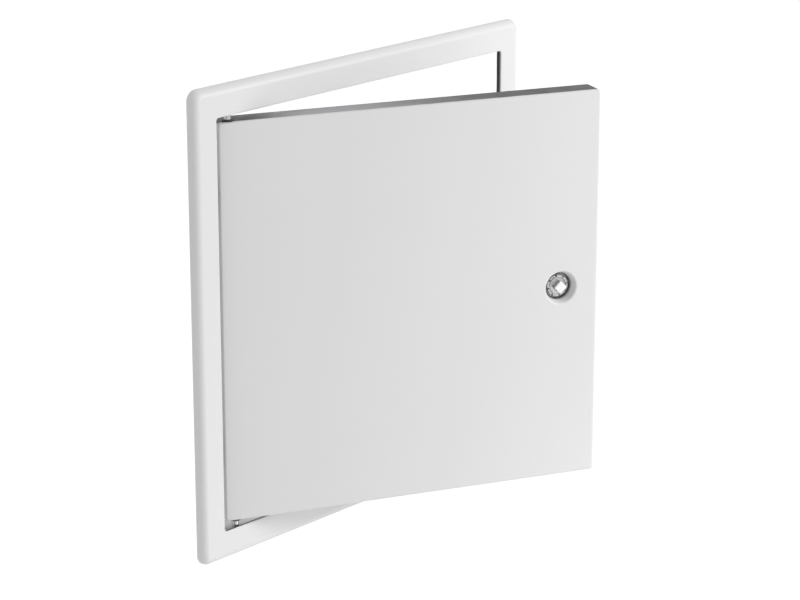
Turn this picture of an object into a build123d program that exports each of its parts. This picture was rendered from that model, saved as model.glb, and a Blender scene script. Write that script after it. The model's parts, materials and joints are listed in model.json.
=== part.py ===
from build123d import *
import os
from math import hypot

# A wall access panel: a shallow pressed rim, a folded tray door on two pivot pins,
# and a dished quarter-turn lock worked by a square key.
# Millimetres. X runs to the right seen from the front, Y into the wall, Z up.
# The origin is the middle of the opening, on the wall plane. The door stands ajar.

# Rim
RIM_WIDTH = 350.0
RIM_HEIGHT = 350.0
RIM_PROUD = 7.0
RIM_FLANGE = 22.0
RIM_SHEET = 1.2
RIM_CORNER_R = 8.0
RIM_EDGE_R = 6.0
LIP_DEPTH = 1.8
LIP_BEND_R = 1.0
OPENING_CORNER_R = 2.0

# Foam seal behind the rim, level with the opening
SEAL_WIDTH = 7.0
SEAL_SHORT_OF_WALL = 2.0

# Door tray
DOOR_GAP = 5.0
HINGE_GAP = 6.0
LOCK_GAP = 5.4
DOOR_DEPTH = 20.0
DOOR_SHEET = 1.2
DOOR_EDGE_R = 2.0
DOOR_CORNER_R = 2.6
DOOR_AJAR = 26.5

# Hinge: pins on the rim, bushes in the door
HINGE_INSET = 9.0
HINGE_SETBACK = 5.0
PIN_R = 2.0
PIN_REACH = 8.0
PIN_COLLAR_R = 2.6
PIN_RELIEF = 0.4
PIN_HEAD_R = 3.4
PIN_HEAD_THICK = 1.5
RUN_CLEAR = 0.05
BUSH_R = 3.2
BUSH_FLANGE_R = 4.0
BUSH_FLANGE_THICK = 1.0
BUSH_LENGTH = 5.0
BRACKET_SHEET = 2.0
BRACKET_WIDTH = 56.0
BRACKET_ABOVE_OPENING = 2.0
BRACKET_TAB_BEHIND = 16.0
BRACKET_PAST_PIN = 8.0
BRACKET_CORNER = 5.0
BRACKET_LEG_WIDTH = 36.0
BRACKET_BEND_R = 0.8

# Lock dish pressed in the door
LOCK_INSET = 30.0
DISH_R = 12.5
DISH_FLOOR_R = 9.5
DISH_DEPTH = 8.2
DISH_LIP_R = 1.6

# Lock housing, spindle and cam
HOUSING_R = 7.0
HOUSING_FLANGE_THICK = 2.4
HOUSING_MOAT = 0.7
HOUSING_SHORT_OF_CAM = 1.0
NOTCH_COUNT = 8
NOTCH_WIDTH = 1.4
NOTCH_DEPTH = 1.6
NUT_FLATS = 19.0
NUT_THICK = 4.0
HEX_BEVEL = 0.8
SPINDLE_R = 5.25
SPINDLE_HEAD_R = 6.5
SPINDLE_HEAD_THICK = 0.8
SPINDLE_HEAD_SUNK = 0.2
KEY_SQUARE = 7.0
KEY_CORNER = 0.5
KEY_BELOW_FACE = 0.3
KEY_CHAMFER = 0.5
CAM_BEHIND_DOOR = 5.0
CAM_THICK = 3.0
CAM_WIDTH = 14.0
CAM_REACH = 44.0
CAM_SQUARE = 7.0
CAM_BOLT_R = 3.0
CAM_BOLT_DEPTH = 8.0
CAM_BOLT_FLATS = 10.0
CAM_BOLT_HEAD = 4.0
CAM_WASHER_R = 7.0
CAM_WASHER_THICK = 1.2

# Strike on the lock side
STRIKE_LENGTH = 40.0
STRIKE_SHEET = 2.0
STRIKE_BEND_R = 0.8
STRIKE_CLEAR = 5.0

# Wall lugs
LUG_SHEET = 1.5
LUG_WIDTH = 18.0
LUG_BEHIND_WALL = 11.5
LUG_HOLE_R = 2.6
LUG_HOLE_FROM_END = 5.5
LUG_CORNER = 3.0
LUG_SPACING = 190.0
LUG_BEND_R = 0.8

# Small clearances
SEAT_CLEAR = 0.3
FIT_CLEAR = 0.05

# Sizes that follow
FRONT = -RIM_PROUD
FLANGE_BACK = FRONT + RIM_SHEET
OPENING_W = RIM_WIDTH - 2 * RIM_FLANGE
OPENING_H = RIM_HEIGHT - 2 * RIM_FLANGE
FLANGE_FLAT_X = RIM_WIDTH / 2 - RIM_EDGE_R - SEAT_CLEAR
FLANGE_FLAT_Z = RIM_HEIGHT / 2 - RIM_EDGE_R - SEAT_CLEAR
DOOR_LEFT = -OPENING_W / 2 + HINGE_GAP
DOOR_RIGHT = OPENING_W / 2 - LOCK_GAP
DOOR_W = DOOR_RIGHT - DOOR_LEFT
DOOR_H = OPENING_H - 2 * DOOR_GAP
DOOR_MID = (DOOR_LEFT + DOOR_RIGHT) / 2
HINGE_X = DOOR_LEFT + HINGE_INSET
HINGE_Y = FRONT + HINGE_SETBACK
LOCK_X = DOOR_RIGHT - LOCK_INSET
DISH_FLOOR_Y = FRONT + DISH_DEPTH
HOUSING_FRONT = DISH_DEPTH - HOUSING_FLANGE_THICK
HEAD_FRONT = HOUSING_FRONT + SPINDLE_HEAD_SUNK
HEAD_BACK = HEAD_FRONT + SPINDLE_HEAD_THICK
CAM_FRONT = FRONT + DOOR_DEPTH + CAM_BEHIND_DOOR
TAB_Z = OPENING_H / 2 + BRACKET_ABOVE_OPENING
BRACKET_START = HINGE_X - BRACKET_PAST_PIN
BRACKET_END = BRACKET_START + BRACKET_WIDTH
SEAL_OUT_X = OPENING_W / 2 + SEAL_WIDTH


def panel(width, height, corner_r, back, front):
    """A rounded rectangle facing the front, from Y = back forward to Y = front."""
    plane = Plane(origin=(0, back, 0), x_dir=(1, 0, 0), z_dir=(0, -1, 0))
    return extrude(plane * RectangleRounded(width, height, corner_r), back - front)


def front_edges(solid):
    """The outer edges of a solid's front face."""
    return solid.faces().sort_by(Axis.Y)[0].outer_wire().edges()


def bent_sheet(path, thick, bend_r, width, plane):
    """A strip folded along a path of points, its thickness on the left of the path."""
    line = FilletPolyline(*path, radius=bend_r + thick)
    section = make_face(offset(line, thick, side=Side.LEFT, closed=True))
    return extrude(plane * section, width / 2, both=True)


def hex_prism(flats, thick):
    """A hexagon between flats, standing on the local XY plane, its top edges bevelled."""
    prism = extrude(RegularPolygon(flats / 2, 6, major_radius=False), thick)
    return chamfer(prism.faces().sort_by(Axis.Z)[-1].edges(), HEX_BEVEL)


def frame_rim():
    """The pressed rim: soft outer edge, flat flange, short turned lip, open behind."""
    blank = panel(RIM_WIDTH, RIM_HEIGHT, RIM_CORNER_R, 0, FRONT)
    blank = fillet(front_edges(blank), RIM_EDGE_R)
    hollow = panel(
        RIM_WIDTH - 2 * RIM_SHEET, RIM_HEIGHT - 2 * RIM_SHEET, RIM_CORNER_R - RIM_SHEET, 0, FLANGE_BACK
    )
    hollow = fillet(front_edges(hollow), RIM_EDGE_R - RIM_SHEET)
    lip = panel(
        OPENING_W + 2 * RIM_SHEET,
        OPENING_H + 2 * RIM_SHEET,
        OPENING_CORNER_R + RIM_SHEET,
        FRONT + LIP_DEPTH,
        FRONT,
    )
    opening = panel(OPENING_W, OPENING_H, OPENING_CORNER_R, RIM_PROUD, 2 * FRONT)
    rim = blank - (hollow - lip) - opening
    bend = rim.faces().sort_by(Axis.Y)[0].inner_wires()[0].edges()
    rim = fillet(bend, LIP_BEND_R)
    relief = Pos(HINGE_X, HINGE_Y, 0) * Cylinder(PIN_COLLAR_R + PIN_RELIEF, 2 * TAB_Z)
    return rim - relief


def seal_section():
    """The seal's stepped outline: x outwards from the opening's edge, y into the wall."""
    lip_back = FRONT + LIP_DEPTH
    back = -SEAL_SHORT_OF_WALL
    return Polyline(
        (RIM_SHEET, FLANGE_BACK),
        (SEAL_WIDTH, FLANGE_BACK),
        (SEAL_WIDTH, back),
        (0, back),
        (0, lip_back),
        (RIM_SHEET, lip_back),
        close=True,
    )


def upright_seal():
    """The strip beside the opening on the lock side."""
    section = Pos(OPENING_W / 2, 0, -OPENING_H / 2) * make_face(seal_section())
    return extrude(section, OPENING_H)


def level_seal():
    """The strip over the opening, cut short beside the hinge bracket."""
    start = BRACKET_END + SEAT_CLEAR
    plane = Plane(origin=(start, 0, OPENING_H / 2), x_dir=(0, 0, 1), z_dir=(1, 0, 0))
    section = plane * mirror(make_face(seal_section()), Plane.XZ)
    return extrude(section, SEAL_OUT_X - start)


def hinge_bracket():
    """The upper bracket: a tab over the pin, and a leg on the back of the rim."""
    path = [
        (FLANGE_BACK, FLANGE_FLAT_Z),
        (FLANGE_BACK, TAB_Z),
        (HINGE_Y + BRACKET_TAB_BEHIND, TAB_Z),
    ]
    middle = (BRACKET_START + BRACKET_END) / 2
    plane = Plane(origin=(middle, 0, 0), x_dir=(0, 1, 0), z_dir=(1, 0, 0))
    bracket = bent_sheet(path, BRACKET_SHEET, BRACKET_BEND_R, BRACKET_WIDTH, plane)
    tab_corners = bracket.edges().filter_by(Axis.Z).group_by(Axis.Y)[-1]
    bracket = chamfer(tab_corners, BRACKET_CORNER)
    spare = BRACKET_WIDTH - BRACKET_LEG_WIDTH
    leg_height = FLANGE_FLAT_Z - TAB_Z
    window = Pos(BRACKET_START, FLANGE_BACK, TAB_Z + BRACKET_SHEET) * Box(
        2 * spare, 4 * BRACKET_SHEET, leg_height * 2, align=(Align.CENTER, Align.CENTER, Align.MIN)
    )
    hole = Pos(HINGE_X, HINGE_Y, TAB_Z) * Cylinder(PIN_R + FIT_CLEAR, 4 * BRACKET_SHEET)
    return bracket - window - hole


def hinge_pin():
    """The upper pin: head over the tab, collar under it, end inside the door."""
    door_top = DOOR_H / 2
    collar_foot = door_top + BUSH_FLANGE_THICK + SEAT_CLEAR
    tab_top = TAB_Z + BRACKET_SHEET
    outline = [
        (0, door_top - PIN_REACH),
        (PIN_R, door_top - PIN_REACH),
        (PIN_R, collar_foot),
        (PIN_COLLAR_R, collar_foot),
        (PIN_COLLAR_R, TAB_Z),
        (PIN_R, TAB_Z),
        (PIN_R, tab_top),
        (PIN_HEAD_R, tab_top),
        (PIN_HEAD_R, tab_top + PIN_HEAD_THICK),
        (0, tab_top + PIN_HEAD_THICK),
    ]
    return Pos(HINGE_X, HINGE_Y, 0) * upright(outline)


def upright(outline):
    """A turned piece on the Z axis."""
    standing = Plane.XZ * make_face(Polyline(*outline, close=True))
    return revolve(standing, Axis.Z)


def hinge_bush():
    """The upper bush: a flange on the door's edge and a sleeve inside it."""
    door_top = DOOR_H / 2
    bore = PIN_R + RUN_CLEAR
    outline = [
        (bore, door_top - BUSH_LENGTH),
        (BUSH_R, door_top - BUSH_LENGTH),
        (BUSH_R, door_top),
        (BUSH_FLANGE_R, door_top),
        (BUSH_FLANGE_R, door_top + BUSH_FLANGE_THICK),
        (bore, door_top + BUSH_FLANGE_THICK),
    ]
    return Pos(HINGE_X, HINGE_Y, 0) * upright(outline)


def dish_radius(depth, offset_by):
    """The dish wall's radius at a depth behind the face, offset square to the wall."""
    slope = (DISH_R - DISH_FLOOR_R) / DISH_DEPTH
    return DISH_R - slope * depth + offset_by * hypot(1, slope)


def lock_turned(outline):
    """A turned piece on the lock's axis: radius, then depth behind the door's face."""
    face = make_face(Polyline(*outline, close=True))
    return Pos(LOCK_X, FRONT, 0) * revolve(face, Axis.Y)


def door_leaf():
    """The folded tray with the lock dish pressed into its face."""
    back = FRONT + DOOR_DEPTH
    tray = panel(DOOR_W, DOOR_H, DOOR_CORNER_R, back, FRONT)
    tray = fillet(front_edges(tray), DOOR_EDGE_R)
    inside = panel(
        DOOR_W - 2 * DOOR_SHEET,
        DOOR_H - 2 * DOOR_SHEET,
        DOOR_CORNER_R - DOOR_SHEET,
        back + DOOR_DEPTH,
        FRONT + DOOR_SHEET,
    )
    inside = fillet(front_edges(inside), DOOR_EDGE_R - DOOR_SHEET)
    tray = Pos(DOOR_MID, 0, 0) * (tray - inside)

    half_sheet = DOOR_SHEET / 2
    dish_back = DISH_DEPTH + DOOR_SHEET
    bump = lock_turned(
        [
            (0, half_sheet),
            (dish_radius(half_sheet, DOOR_SHEET), half_sheet),
            (dish_radius(dish_back, DOOR_SHEET), dish_back),
            (0, dish_back),
        ]
    )
    recess = lock_turned(
        [
            (0, -DOOR_SHEET),
            (DISH_R, -DOOR_SHEET),
            (DISH_R, 0),
            (DISH_FLOOR_R, DISH_DEPTH),
            (0, DISH_DEPTH),
        ]
    )
    hole_r = HOUSING_R + FIT_CLEAR
    lock_hole = lock_turned([(0, 0), (hole_r, 0), (hole_r, 2 * DISH_DEPTH), (0, 2 * DISH_DEPTH)])
    leaf = tray + bump - recess - lock_hole
    lip = leaf.faces().sort_by(Axis.Y)[0].inner_wires()[0].edges()
    leaf = fillet(lip, DISH_LIP_R)
    pin_hole = Pos(HINGE_X, HINGE_Y, 0) * Cylinder(BUSH_R + FIT_CLEAR, DOOR_H + DOOR_SHEET)
    return leaf - pin_hole


def lock_housing():
    """The fixed lock body: notched flange on the dish floor, sunk seat and a round neck."""
    flange_r = DISH_FLOOR_R - HOUSING_MOAT
    bore = SPINDLE_R + RUN_CLEAR
    seat_r = SPINDLE_HEAD_R + RUN_CLEAR
    seat = HEAD_BACK + SEAT_CLEAR
    end = CAM_FRONT - FRONT - HOUSING_SHORT_OF_CAM
    body = lock_turned(
        [
            (bore, seat),
            (seat_r, seat),
            (seat_r, HOUSING_FRONT),
            (flange_r, HOUSING_FRONT),
            (flange_r, DISH_DEPTH),
            (HOUSING_R, DISH_DEPTH),
            (HOUSING_R, end),
            (bore, end),
        ]
    )
    face = Plane(origin=(LOCK_X, DISH_FLOOR_Y, 0), x_dir=(1, 0, 0), z_dir=(0, -1, 0))
    places = face * PolarLocations(flange_r, NOTCH_COUNT, start_angle=90 / NOTCH_COUNT)
    return body - places * Box(2 * NOTCH_DEPTH, NOTCH_WIDTH, 2 * HOUSING_FLANGE_THICK)


def lock_nut():
    """The hexagon nut behind the dish."""
    nut = hex_prism(NUT_FLATS, NUT_THICK) - Cylinder(HOUSING_R + FIT_CLEAR, 4 * NUT_THICK)
    back = Plane(origin=(LOCK_X, DISH_FLOOR_Y + DOOR_SHEET, 0), x_dir=(1, 0, 0), z_dir=(0, 1, 0))
    return back * nut


def lock_spindle():
    """The turning core: square for the key, collar, round shank and square tail."""
    cam_front = CAM_FRONT - FRONT
    core = lock_turned(
        [
            (0, HEAD_FRONT),
            (SPINDLE_HEAD_R, HEAD_FRONT),
            (SPINDLE_HEAD_R, HEAD_BACK),
            (SPINDLE_R, HEAD_BACK),
            (SPINDLE_R, cam_front),
            (0, cam_front),
        ]
    )
    toward = Plane(origin=(LOCK_X, FRONT + HEAD_FRONT, 0), x_dir=(1, 0, 0), z_dir=(0, -1, 0))
    square = Rectangle(KEY_SQUARE, KEY_SQUARE)
    square = Rot(0, 0, 45) * chamfer(square.vertices(), KEY_CORNER)
    key = extrude(toward * square, HEAD_FRONT - KEY_BELOW_FACE)
    key = chamfer(front_edges(key), KEY_CHAMFER)
    away = Plane(origin=(LOCK_X, CAM_FRONT, 0), x_dir=(1, 0, 0), z_dir=(0, 1, 0))
    tail = extrude(away * Rectangle(CAM_SQUARE, CAM_SQUARE), CAM_THICK - SEAT_CLEAR)
    bolt_hole = away * Pos(0, 0, CAM_THICK - CAM_BOLT_DEPTH) * Cylinder(
        CAM_BOLT_R, 2 * CAM_BOLT_DEPTH, align=(Align.CENTER, Align.CENTER, Align.MIN)
    )
    return core + key + tail - bolt_hole


def cam_tongue():
    """The flat cam on the spindle's tail, pointing up while the lock is open."""
    away = Plane(origin=(LOCK_X, CAM_FRONT, 0), x_dir=(0, 0, 1), z_dir=(0, 1, 0))
    blade = SlotCenterPoint((CAM_REACH / 2 - CAM_WIDTH / 4, 0), (CAM_REACH - CAM_WIDTH / 2, 0), CAM_WIDTH)
    hole = CAM_SQUARE + 2 * FIT_CLEAR
    return extrude(away * (blade - Rectangle(hole, hole)), CAM_THICK)


def cam_bolt():
    """The washer, hexagon head and shank that hold the cam."""
    seat = Plane(origin=(LOCK_X, CAM_FRONT + CAM_THICK, 0), x_dir=(1, 0, 0), z_dir=(0, 1, 0))
    washer = Cylinder(CAM_WASHER_R, CAM_WASHER_THICK, align=(Align.CENTER, Align.CENTER, Align.MIN))
    head = Pos(0, 0, CAM_WASHER_THICK) * hex_prism(CAM_BOLT_FLATS, CAM_BOLT_HEAD)
    shank_length = CAM_BOLT_DEPTH - SEAT_CLEAR
    shank = Cylinder(
        CAM_BOLT_R - FIT_CLEAR, shank_length, align=(Align.CENTER, Align.CENTER, Align.MAX)
    )
    return seat * (washer + head + shank)


def strike_bracket():
    """The keeper: a leg on the rim's back and a catch that the cam turns behind."""
    catch_back = CAM_FRONT - STRIKE_CLEAR
    web = SEAL_OUT_X + SEAT_CLEAR
    path = [
        (OPENING_W / 2, catch_back),
        (web + STRIKE_SHEET, catch_back),
        (web + STRIKE_SHEET, FLANGE_BACK + STRIKE_SHEET),
        (FLANGE_FLAT_X, FLANGE_BACK + STRIKE_SHEET),
    ]
    line = FilletPolyline(*path, radius=STRIKE_BEND_R + STRIKE_SHEET / 2)
    section = make_face(offset(line, STRIKE_SHEET, side=Side.RIGHT, closed=True))
    return extrude(section, STRIKE_LENGTH / 2, both=True)


def wall_lug():
    """A folded lug on the lock side: a foot on the rim's back and a drilled leg."""
    leg_in = SEAL_OUT_X + SEAT_CLEAR
    path = [
        (leg_in, LUG_BEHIND_WALL),
        (leg_in, FLANGE_BACK),
        (FLANGE_FLAT_X, FLANGE_BACK),
    ]
    lug = bent_sheet(path, LUG_SHEET, LUG_BEND_R, LUG_WIDTH, Plane.XY)
    lug = chamfer(lug.edges().filter_by(Axis.X).group_by(Axis.Y)[-1], LUG_CORNER)
    across = Plane(
        origin=(leg_in, LUG_BEHIND_WALL - LUG_HOLE_FROM_END, 0), x_dir=(0, 1, 0), z_dir=(1, 0, 0)
    )
    return lug - across * Cylinder(LUG_HOLE_R, 4 * LUG_SHEET)


def below(solid):
    """The matching piece at the bottom."""
    return mirror(solid, Plane.XY)


def opposite(solid):
    """The matching piece on the hinge side."""
    return mirror(solid, Plane.YZ)


def ajar(solid):
    """A door piece turned open about the hinge."""
    hinge = Axis((HINGE_X, HINGE_Y, 0), (0, 0, -1))
    return solid.rotate(hinge, DOOR_AJAR)


def pieces():
    """Every piece by name, where it stands at rest."""
    side_seal = upright_seal()
    top_seal = level_seal()
    bracket = hinge_bracket()
    pin = hinge_pin()
    bush = hinge_bush()
    upper_lug = Pos(0, 0, LUG_SPACING / 2) * wall_lug()
    return {
        "frame_rim": frame_rim(),
        "seal_top": top_seal,
        "seal_bottom": below(top_seal),
        "seal_left": opposite(side_seal),
        "seal_right": side_seal,
        "hinge_bracket_upper": bracket,
        "hinge_bracket_lower": below(bracket),
        "hinge_pin_upper": pin,
        "hinge_pin_lower": below(pin),
        "strike_bracket": strike_bracket(),
        "wall_lug_left_upper": opposite(upper_lug),
        "wall_lug_left_lower": opposite(below(upper_lug)),
        "wall_lug_right_upper": upper_lug,
        "wall_lug_right_lower": below(upper_lug),
        "door_leaf": ajar(door_leaf()),
        "hinge_bush_upper": ajar(bush),
        "hinge_bush_lower": ajar(below(bush)),
        "lock_housing": ajar(lock_housing()),
        "lock_nut": ajar(lock_nut()),
        "lock_spindle": ajar(lock_spindle()),
        "cam_tongue": ajar(cam_tongue()),
        "cam_bolt": ajar(cam_bolt()),
    }


os.makedirs("parts", exist_ok=True)
for name, solid in pieces().items():
    export_step(solid, f"parts/{name}.step")
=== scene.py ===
import json
from math import cos, hypot, pi, radians, sin, tan

import bmesh
import bpy
import numpy as np
from bpy.props import FloatProperty, FloatVectorProperty, IntProperty, PointerProperty
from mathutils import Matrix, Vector


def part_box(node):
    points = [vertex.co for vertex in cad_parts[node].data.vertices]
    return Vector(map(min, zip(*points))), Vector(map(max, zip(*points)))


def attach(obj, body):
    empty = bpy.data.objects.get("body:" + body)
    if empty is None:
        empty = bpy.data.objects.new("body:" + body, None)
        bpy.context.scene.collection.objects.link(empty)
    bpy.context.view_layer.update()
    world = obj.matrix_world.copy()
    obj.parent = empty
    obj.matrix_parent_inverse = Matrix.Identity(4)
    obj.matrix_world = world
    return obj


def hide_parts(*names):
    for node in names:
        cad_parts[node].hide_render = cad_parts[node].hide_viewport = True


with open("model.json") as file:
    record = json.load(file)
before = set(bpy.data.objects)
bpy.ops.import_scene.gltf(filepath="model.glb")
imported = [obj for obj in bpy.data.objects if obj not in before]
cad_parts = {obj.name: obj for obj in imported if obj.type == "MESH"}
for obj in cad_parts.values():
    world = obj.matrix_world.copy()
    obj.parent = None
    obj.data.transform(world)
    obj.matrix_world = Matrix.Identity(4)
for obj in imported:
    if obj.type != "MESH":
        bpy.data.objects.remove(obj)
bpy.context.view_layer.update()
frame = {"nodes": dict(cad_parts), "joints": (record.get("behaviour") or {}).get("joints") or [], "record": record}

bl_info = {
    "name": "Access Panel Finishes",
    "version": (1, 0, 0),
    "blender": (4, 5, 0),
    "location": "3D View > Sidebar > Access Panel",
    "description": "Dresses a wall access panel: coat, zinc, seals, hinges and lock",
    "category": "Object",
}

MM = 0.001
MERGE = 1e-7
PICTURE_WIDTH = 800
SENSOR_WIDTH = 36.0
ROUND = 2.0 * pi
WHITE = (1.0, 1.0, 1.0, 1.0)
BLACK = (0.0, 0.0, 0.0, 1.0)

# Sheet and bends, in metres
SHEET = 1.2 * MM
RIM_BEND = 6.0 * MM
RIM_CORNER = 8.0 * MM
DOOR_BEND = 2.0 * MM
DOOR_CORNER = 2.6 * MM
LIP_DEPTH = 1.8 * MM

# Lock, by radius and by depth behind the door's face
DISH_R = 12.5 * MM
DISH_FLOOR_R = 9.5 * MM
DISH_DEPTH = 8.2 * MM
FLANGE_R = 8.8 * MM
FLANGE_THICK = 2.4 * MM
NECK_R = 7.0 * MM
BORE_R = 5.3 * MM
NUT_FLATS = 19.0 * MM
SPINDLE_R = 5.25 * MM
HEAD_R = 6.5 * MM
HEAD_FRONT = 6.0 * MM
HEAD_BACK = 6.8 * MM
KEY_SQUARE = 7.0 * MM
KEY_CORNER = 0.8 * MM
TAIL_SQUARE = 7.0 * MM
CAM_WIDTH = 14.0 * MM
BOLT_FLATS = 10.0 * MM
WASHER_R = 7.0 * MM
WASHER_THICK = 1.2 * MM

# Hinge and folded brackets
PIN_R = 2.0 * MM
COLLAR_R = 2.6 * MM
PIN_HEAD_R = 3.4 * MM
PIN_HEAD_THICK = 1.5 * MM
BUSH_R = 3.2 * MM
BUSH_FLANGE_R = 4.0 * MM
BUSH_FLANGE_THICK = 1.0 * MM
RUN_CLEAR = 0.05 * MM
SEAT_CLEAR = 0.3 * MM
BRACKET_SHEET = 2.0 * MM
LUG_SHEET = 1.5 * MM

# Small forms on the lock
NOTCH_SOFT = 0.06 * MM
NOTCH_KEEPS_ROUND = 0.3
SPIGOT_DIP = 0.15 * MM
SPIGOT_DIP_R = 0.9 * MM
TAIL_CORNER = 0.2 * MM
HOLE_CORNER = 0.3 * MM
BORE_CHAMFER = 0.4 * MM
CONE_SHARE = 0.3
CONE_START = 0.97
CONE_ANGLE = radians(30)
BOLT_DIP = 0.25 * MM
BOLT_DIP_SHARE = 0.6

# Weld marks
WELD_FROM_SIDE = 3.2 * MM
WELD_FROM_EDGE = 4.5 * MM
BRACKET_WELDS = (6.0 * MM, 18.0 * MM, 30.0 * MM)
KEEPER_WELDS = (0.2, 0.8)
WELD_MIDDLE = 0.06 * MM
WELD_RING = 0.22 * MM
WELD_SUNK = 0.4 * MM
WELD_MIDDLE_SHARE = 0.55
WELD_RING_SHARE = 0.75
WELD_SOFT = 0.2 * MM
WELD_FOOT_SOFT = 0.05 * MM

# Foam strips: how full the ends are, and the ripples along a strip in radians
FOAM_END_FILL = 0.85
FOAM_RIPPLES = (61.0, 23.0)

# Rounded edges in steps, as shares of the rounding: sideways and along
CHAMFER_STEPS = ((1.0, 0.0), (0.6, 0.2), (0.15, 0.6), (0.0, 1.0))
FILLET_STEPS = ((0.0, 1.0), (0.3, 0.3), (1.0, 0.0))

# Where the finishes change: pairs give where a zone starts and where it is whole
SKIN_ZONE = (0.9 * SHEET, 0.7 * SHEET)
LIP_ZONE = (0.6 * SHEET, 0.4 * SHEET)
LIP_COAT_ZONE = (0.8 * SHEET, 0.4 * SHEET)
PORE_ZONE = (0.1, 0.6)
CRYSTAL_SHARE = 0.6
CRYSTALS_TO_CLOUD = 7.0
GRAIN_HEIGHT = 0.12
# Painted sheen on the door's folds, by distance from the hinge: painted shade at the hinge, a painted reflection
# whole at the near distance and gone by the far one
PAINTED_SHEEN_NEAR = 60.0 * MM
PAINTED_SHEEN_FAR = 220.0 * MM
# Painted shade in the lock's dish: its soft outer edge, how far up from the dish's floor it ends, and how dark it
# is
DISH_EDGE = 1.0 * MM
DISH_FOOT = 0.8 * MM
DISH_FOOT_SHADE = 0.75
KEY_DULL_ZONE = (0.9 * MM, 1.5 * MM)

# Stage: each lamp's place and width in metres, and what sees the background as white
KEY_LAMP = ((0.6, -0.9, 0.4), 0.5)
LOW_LAMP = ((0.2, -0.5, -0.4), 0.4)
FLOOR_RADIUS = 12.0
FLOOR_COLOUR = (0.88, 0.88, 0.88, 1.0)
FLOOR_GLOW = (0.5, 0.5, 0.5, 1.0)
SEEN_BY = ("Is Camera Ray", "Is Glossy Ray", "Is Transmission Ray")


def named(rows, name):
    """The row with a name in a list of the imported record."""
    return next(row for row in rows if row["name"] == name)


KEY_MOUNT = named(frame["record"]["mounts"], "square_key")
KEY_POINT = np.array(KEY_MOUNT["pos_m"])
DOOR_BACK = -np.array(KEY_MOUNT["axis"])
UPRIGHT = np.array([0.0, 0.0, 1.0])
DOOR_ACROSS = np.cross(DOOR_BACK, UPRIGHT)
HINGE_POINT = np.array(named(frame["joints"], "door_swing")["pos_m"])
RIM_LOW, RIM_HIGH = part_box("frame_rim")


def door_reach(node):
    """Lowest and highest place of a node across the door, up it and behind its face."""
    mesh = frame["nodes"][node].data
    places = np.empty(3 * len(mesh.vertices))
    mesh.vertices.foreach_get("co", places)
    local = (places.reshape(-1, 3) - KEY_POINT) @ np.stack([DOOR_ACROSS, UPRIGHT, DOOR_BACK], 1)
    return local.min(0), local.max(0)


def colour(name, description, *rgb):
    """A colour that a user can set."""
    return FloatVectorProperty(
        name=name, description=description, subtype="COLOR", size=4, min=0.0, max=1.0, default=(*rgb, 1.0)
    )


def share(name, description, default):
    """A share from 0 to 1 that a user can set."""
    return FloatProperty(
        name=name, description=description, subtype="FACTOR", min=0.0, max=1.0, default=default
    )


def length(name, description, millimetres):
    """A length that a user can set."""
    return FloatProperty(
        name=name, description=description, unit="LENGTH", precision=5, min=0.0, default=millimetres * MM
    )


def angle_of(name, description, degrees):
    """An angle that a user can set."""
    return FloatProperty(name=name, description=description, subtype="ANGLE", default=radians(degrees))


def power(name, description, watts):
    """A lamp's power that a user can set."""
    return FloatProperty(name=name, description=description, unit="POWER", min=0.0, default=watts)


class PanelFinish(bpy.types.PropertyGroup):
    """Colours and shine of the panel's materials."""

    coat: colour("Coat", "White powder coat on the rim and the door", 0.84, 0.84, 0.838)
    coat_roughness: share("Coat roughness", "Low gloss of the powder coat", 0.4)
    fold: colour("Fold", "Bare steel on the outside of the door's folds", 0.16, 0.16, 0.165)
    inside: colour("Inside", "Bare zinc inside the door and behind the rim", 0.52, 0.525, 0.53)
    zinc: colour("Zinc", "Zinc on brackets, lugs, keeper and cam", 0.45, 0.455, 0.46)
    zinc_roughness: share("Zinc roughness", "Dull shine of the zinc", 0.36)
    edge_shine: share("Edge shine", "Shine of the coated sheet seen along its surface", 0.7)
    steel: colour("Steel", "Turned steel of the pins, nut and bolt", 0.5, 0.5, 0.5)
    foam: colour("Foam", "Black closed-cell foam of the seals", 0.05, 0.05, 0.052)
    casting: colour("Casting", "Dull die-cast metal of the lock housing", 0.5, 0.5, 0.5)
    key: colour("Key", "Bright plating of the square spigot", 0.9, 0.9, 0.89)
    nylon: colour("Nylon", "Black nylon of the hinge bushes", 0.04, 0.04, 0.042)


class PanelSizes(bpy.types.PropertyGroup):
    """Sizes of the finer pieces."""

    coat_reach: length("Coat reach", "How far the coat goes round the door's fold before it fades", 1.6)
    coat_fade: length("Coat fade", "Width of the coat's soft edge on the fold", 1.8)
    notch_count: IntProperty(name="Notches", description="Notches round the lock flange", default=8, min=1)
    notch_width: length("Notch width", "Width of a notch", 1.4)
    notch_depth: length("Notch depth", "How far a notch cuts into the flange", 1.6)
    thread_pitch: length("Thread pitch", "Pitch of the thread on the lock's neck", 1.25)
    thread_depth: length("Thread depth", "Depth of that thread", 0.5)
    key_chamfer: length("Key chamfer", "Chamfer round the spigot's end", 0.5)
    flange_round: length("Flange round", "Rounded front edge of the lock flange", 1.0)
    edge_round: length("Edge round", "Softened edges of stamped and turned pieces", 0.35)
    foam_round: length("Foam round", "Rounded edges of the foam", 0.9)
    foam_wave: length("Foam wave", "Slight waves along the foam", 0.12)
    weld_radius: length("Weld radius", "Radius of the weld marks", 2.3)


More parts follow.
